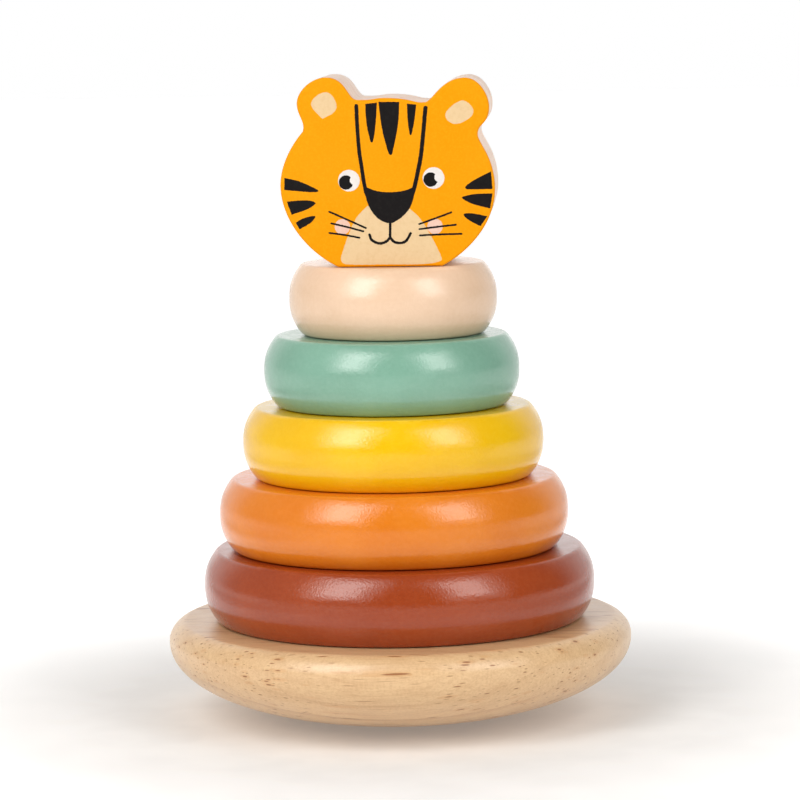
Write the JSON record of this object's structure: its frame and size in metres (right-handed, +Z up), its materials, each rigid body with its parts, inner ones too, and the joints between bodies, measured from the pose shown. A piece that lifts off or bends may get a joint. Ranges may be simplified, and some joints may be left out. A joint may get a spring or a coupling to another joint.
{
  "type": "stacking ring toy",
  "caption": "Wooden stacking toy: turned rings of falling size drop over a peg on a rocking round base, under a block head sawn to a tiger's outline.",
  "frame": {"origin": "middle of the small flat foot under the rocker base", "axes": "+Z up along the peg, the tiger's face looks towards -Y, its left ear as seen from the front is on -X"},
  "size_m": [0.13, 0.13, 0.1793],
  "materials": {
    "lacquered_wood": "light close-grained wood under satin lacquer",
    "peg_wood": "bare sanded wood",
    "brown_paint": "satin paint over wood",
    "orange_paint": "satin paint over wood",
    "yellow_paint": "satin paint over wood",
    "green_paint": "satin paint over wood",
    "cream_paint": "satin paint over wood",
    "head_paint": "printed satin face, whitewashed sides"
  },
  "bodies": {
    "base": {"rocker_base": "lacquered_wood", "centre_peg": "peg_wood"},
    "ring_brown": {"ring_brown": "brown_paint"},
    "ring_orange": {"ring_orange": "orange_paint"},
    "ring_yellow": {"ring_yellow": "yellow_paint"},
    "ring_green": {"ring_green": "green_paint"},
    "ring_cream": {"ring_cream": "cream_paint"},
    "head": {"tiger_head": "head_paint"}
  },
  "joints": [
    {"name": "lift_brown", "type": "slide", "parent": "base", "child": "ring_brown", "axis": [0, 0, 1], "range_m": [0, 0.125]},
    {"name": "lift_orange", "type": "slide", "parent": "ring_brown", "child": "ring_orange", "axis": [0, 0, 1], "range_m": [0, 0.105]},
    {"name": "lift_yellow", "type": "slide", "parent": "ring_orange", "child": "ring_yellow", "axis": [0, 0, 1], "range_m": [0, 0.085]},
    {"name": "lift_green", "type": "slide", "parent": "ring_yellow", "child": "ring_green", "axis": [0, 0, 1], "range_m": [0, 0.065]},
    {"name": "lift_cream", "type": "slide", "parent": "ring_green", "child": "ring_cream", "axis": [0, 0, 1], "range_m": [0, 0.045]},
    {"name": "lift_head", "type": "slide", "parent": "ring_cream", "child": "head", "axis": [0, 0, 1], "range_m": [0, 0.025]}
  ]
}
